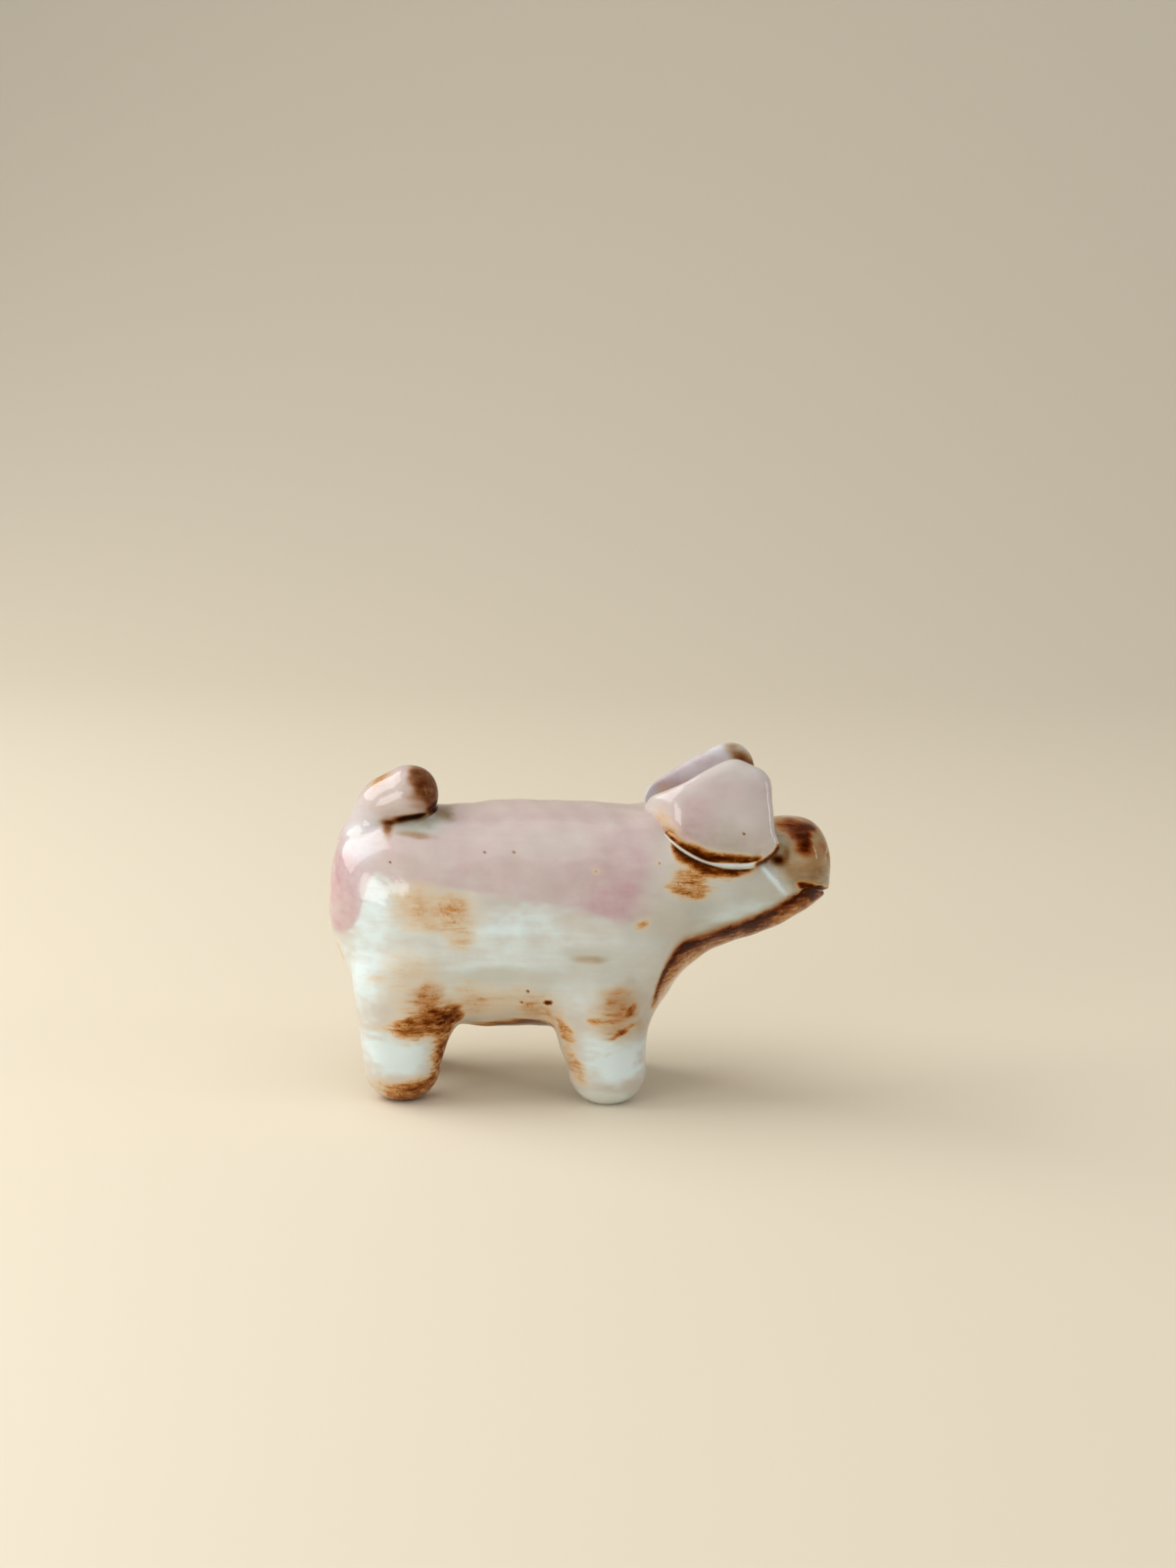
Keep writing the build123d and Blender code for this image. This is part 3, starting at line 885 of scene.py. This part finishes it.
ear_middle = np.array([16.75, -6.2, 38.2])
ear_leans = {-1: radians(14), 1: radians(0)}
ear_bow_radii = {-1: 36.0, 1: 80.0}
ear_thickness = 2.4
ear_root_bend = 2.2
ear_root_drop = tan(radians(12))
ear_root_sink = 1.0
groove_depth = 0.5
groove_inset = 1.2
lip_height = 0.4
right_ear_rim = (
    (-8.7, 0.2), (-8.0, 1.5), (-6.2, 2.4), (-2.4, 4.4), (1.2, 6.2), (2.7, 6.5), (4.4, 5.9), (6.2, 4.9),
    (6.9, 3.9), (7.1, 1.0), (7.6, -2.4), (8.2, -4.6), (7.7, -5.4), (5.5, -6.8), (2.5, -7.2), (-1.0, -6.9),
    (-4.6, -5.1), (-7.2, -2.7), (-8.4, -1.1),
)
left_ear_rim = (
    (-8.7, 0.2), (-8.0, 1.5), (-5.6, 2.5), (-2.0, 4.5), (1.2, 6.05), (2.7, 6.35), (3.9, 6.0), (4.9, 4.9),
    (5.4, 3.8), (6.2, 1.0), (7.0, -2.4), (7.7, -4.6), (7.2, -5.4), (5.2, -6.8), (2.5, -7.2), (-1.0, -6.9),
    (-4.6, -5.1), (-7.2, -2.7), (-8.4, -1.1),
)
ear_rows = 60
ear_turns = 240


def closed_curve(points, steps):
    """A smooth closed curve through points, in even steps of the way along their chords."""
    ring = np.array(points[-2:] + points + points[:3])
    chords = np.linalg.norm(np.diff(ring, axis=0), axis=1)
    place = np.concatenate([[0], np.cumsum(chords)])
    way = np.linspace(place[2], place[-3], steps, endpoint=False)
    return np.stack([curve_through(way, place, ring[:, k]) for k in range(2)], -1)


ear_blush = ((16, 38.5, 14, 9, 0, 0.48), (13, 36, 4.5, 4.5, 0, 0.75), (19.5, 37.0, 4.0, 3.2, 0, 0.25))
ear_milk = ((16, 38.5, 14, 9, 0, 0.3), (17, 41.0, 7.0, 3.5, 20, 0.25), (19.5, 37.0, 4.0, 3.2, 0, 0.2))
ear_thin = ((18.0, 34.2, 7.0, 3.4, 0, 0.26),)
ear_iron = ((10.2, 36.2, 2.0, 2.8, 0, 0.27), (12.5, 34.2, 2.4, 0.8, -35, 0.4))
right_ear_umber = ((20.3, 35.7, 0.18, 0.16, 0, 0.8),)
left_ear_umber = ((21.6, 43.0, 2.6, 1.8, -45, 0.72),)


def make_ear(node, side, rim):
    """A petal from the middle of its outer face over the rim to the middle of its inner face.

    Each point lies a share of the way from the petal's middle to its rim, and half the thickness off the
    petal's plane. The thickness falls to nothing at the rim, as the root of 1 less the share's sixth power.
    The plane bows like a ball, and towards its root it sinks, bends in to the middle of the neck and
    drops. Groove and lip are bells across the lower rim.
    """
    lean = ear_leans[side]
    edge = closed_curve(rim, ear_turns)
    reach = np.linalg.norm(edge, axis=-1)
    rise = 1 - (1 - np.linspace(0, 1, ear_rows)) ** 2
    share = np.concatenate([rise, rise[-2::-1]])[:, None]
    face = np.concatenate([np.ones(ear_rows), -np.ones(ear_rows - 1)])[:, None]
    along = share * edge[:, 0]
    up = share * edge[:, 1]
    half = ear_thickness / 2 * np.sqrt(1 - share**6)
    inset = (1 - share) * reach
    low = smooth_step(-up, 1.8, 3.0) * (1 - smooth_step(along, 5.2, 6.4))
    front_low = smooth_step(along, 4.6, 5.6) * smooth_step(-up, 3.6, 4.6)
    groove = groove_depth * np.exp(-(((inset - groove_inset) / 0.45) ** 2))
    groove = groove - lip_height * np.exp(-(((inset - 0.4) / 0.3) ** 2))
    lift = face * half - low * groove * (face > 0)
    lift = lift - (along**2 + up**2) / (2 * ear_bow_radii[side])
    lift = lift - ear_root_sink * smooth_step(-along, 4.0, 9.0)
    bend = ear_root_bend * np.clip(-along / 8.6, 0, 1.1) ** 3
    x = ear_middle[0] + along
    y = ear_middle[1] + up * sin(lean) - lift * cos(lean) + bend
    z = ear_middle[2] + up * cos(lean) + lift * sin(lean) - bend * ear_root_drop

    def ear_glaze(points):
        """Pink outside and white inside, with iron that ran into the groove and left the lip white.
        The white inside is painted light, which lightens the faces that lie in the shade between the ears.
        """
        wide = 0.55 + 0.45 * smooth_step(along, -5.5, -2.0) - 0.4 * smooth_step(along, 3.0, 6.0)
        band = smooth_step(inset, 0.55, 0.8) * (1 - smooth_step(inset, wide, 2.6 * wide))
        band = low * band * (face > 0) * (0.9 + 0.35 * cloud(points, 1.5, 8))
        band = band + front_low * (1 - smooth_step(inset, 0.3, 0.8))
        lip = low * (1 - smooth_step(inset, 0.42, 0.65))
        iron = brushed(points, ear_iron)
        # Painted light: the inner faces get white, a little more blush and no thin glaze, to lighten them
        # in the shade between the ears.
        inner = np.broadcast_to(face < 0, iron.shape).astype(float)
        return {
            "milk": np.maximum(brushed(points, ear_milk), np.maximum(0.9 * lip, 1.3 * inner)),
            "blush": (brushed(points, ear_blush) + 0.12 * inner) * (1 - lip),
            "thin": (1 - inner) * np.clip(brushed(points, ear_thin) + 0.12 * cloud(points, 2.6, 9), 0, 1),
            "iron": np.maximum(iron * (1 - lip), band),
            "umber": brushed(points, right_ear_umber if side < 0 else left_ear_umber),
            "scratch": 0.4 * band,
        }

    finish_piece(node, np.stack(np.broadcast_arrays(x, -side * y, z), -1), ear_glaze)


make_ear("ear_right", -1, right_ear_rim)
make_ear("ear_left", 1, left_ear_rim)

# Studio
# A pale floor that curves up into a backdrop, large soft lamps in an evenly lit room, and the camera at
# the height and distance of the photograph.

floor_half = 1500.0
sweep_start = 300.0
sweep_radius = 500.0
backdrop_height = 2000.0
backdrop_y = sweep_start + sweep_radius
sweep = np.linspace(0, pi / 2, 40)
floor_y = np.concatenate([[-floor_half], sweep_start + sweep_radius * np.sin(sweep), [backdrop_y]])[:, None]
floor_z = np.concatenate([[0.0], sweep_radius * (1 - np.cos(sweep)), [backdrop_height]])[:, None]
floor_x = floor_half * np.array([-1.0, 1.0])
floor_points = np.stack(np.broadcast_arrays(floor_x, floor_y, floor_z), -1).reshape(-1, 3)
corner = 2 * np.arange(len(floor_y) - 1)[:, None]
floor_mesh = bpy.data.meshes.new("floor")
floor_mesh.from_pydata((floor_points * MM).tolist(), [], (corner + [0, 1, 3, 2]).tolist())
floor_mesh.shade_smooth()
floor = bpy.data.objects.new("floor", floor_mesh)
bpy.context.scene.collection.objects.link(floor)

# Matt emulsion paint, which gives a pale floor with a soft shadow and no mirror image
floor_paint = bpy.data.materials.new("matt_floor_paint")
floor_paint.use_nodes = True
floor_shader = floor_paint.node_tree.nodes["Principled BSDF"].inputs
floor_shader["Base Color"].default_value = linear("#E2D6BF")
floor_shader["Roughness"].default_value = 0.6
floor_mesh.materials.append(floor_paint)

lamp_aim = Vector((0, 0, 22))


def soft_lamp(name, place, size, power):
    """A rectangle of soft white light, turned towards the pig. Its place and size are millimetres."""
    lamp = bpy.data.lights.new(name, "AREA")
    lamp.shape = "RECTANGLE"
    lamp.size = size[0] * MM
    lamp.size_y = size[1] * MM
    lamp.energy = power
    holder = bpy.data.objects.new(name, lamp)
    bpy.context.scene.collection.objects.link(holder)
    aimed = (lamp_aim - Vector(place)).to_track_quat("-Z", "Y").to_matrix().to_4x4()
    holder.matrix_world = Matrix.Translation(Vector(place) * MM) @ aimed


soft_lamp("lamp_left", place=(-215, -200, 82), size=(130, 110), power=0.21)
soft_lamp("lamp_rear_left", place=(-360, 60, 300), size=(420, 320), power=1.55)
soft_lamp("lamp_right", place=(320, -70, 120), size=(36, 160), power=0.1)
soft_lamp("lamp_top", place=(0, -150, 700), size=(900, 700), power=1.6)

world = bpy.data.worlds.new("studio_air")
world.use_nodes = True
air = world.node_tree.nodes["Background"].inputs
air["Color"].default_value = linear("#F3F6FA")
air["Strength"].default_value = 0.5
bpy.context.scene.world = world

camera_place = np.array([0.85, -292.65, 102.22])
camera_pitch = radians(12)
camera_roll = radians(1)
photo_focal_px = 2404
photo_long_side_px = 1600
camera = bpy.data.objects.new("camera", bpy.data.cameras.new("camera"))
bpy.context.scene.collection.objects.link(camera)
camera.data.sensor_width = 36.0
camera.data.lens = photo_focal_px * camera.data.sensor_width / photo_long_side_px
camera.data.clip_start = 0.01
turned = Matrix.Rotation(pi / 2 - camera_pitch, 4, "X") @ Matrix.Rotation(camera_roll, 4, "Z")
camera.matrix_world = Matrix.Translation(Vector(camera_place * MM)) @ turned
bpy.context.scene.camera = camera
bpy.context.scene.view_settings.view_transform = "Standard"
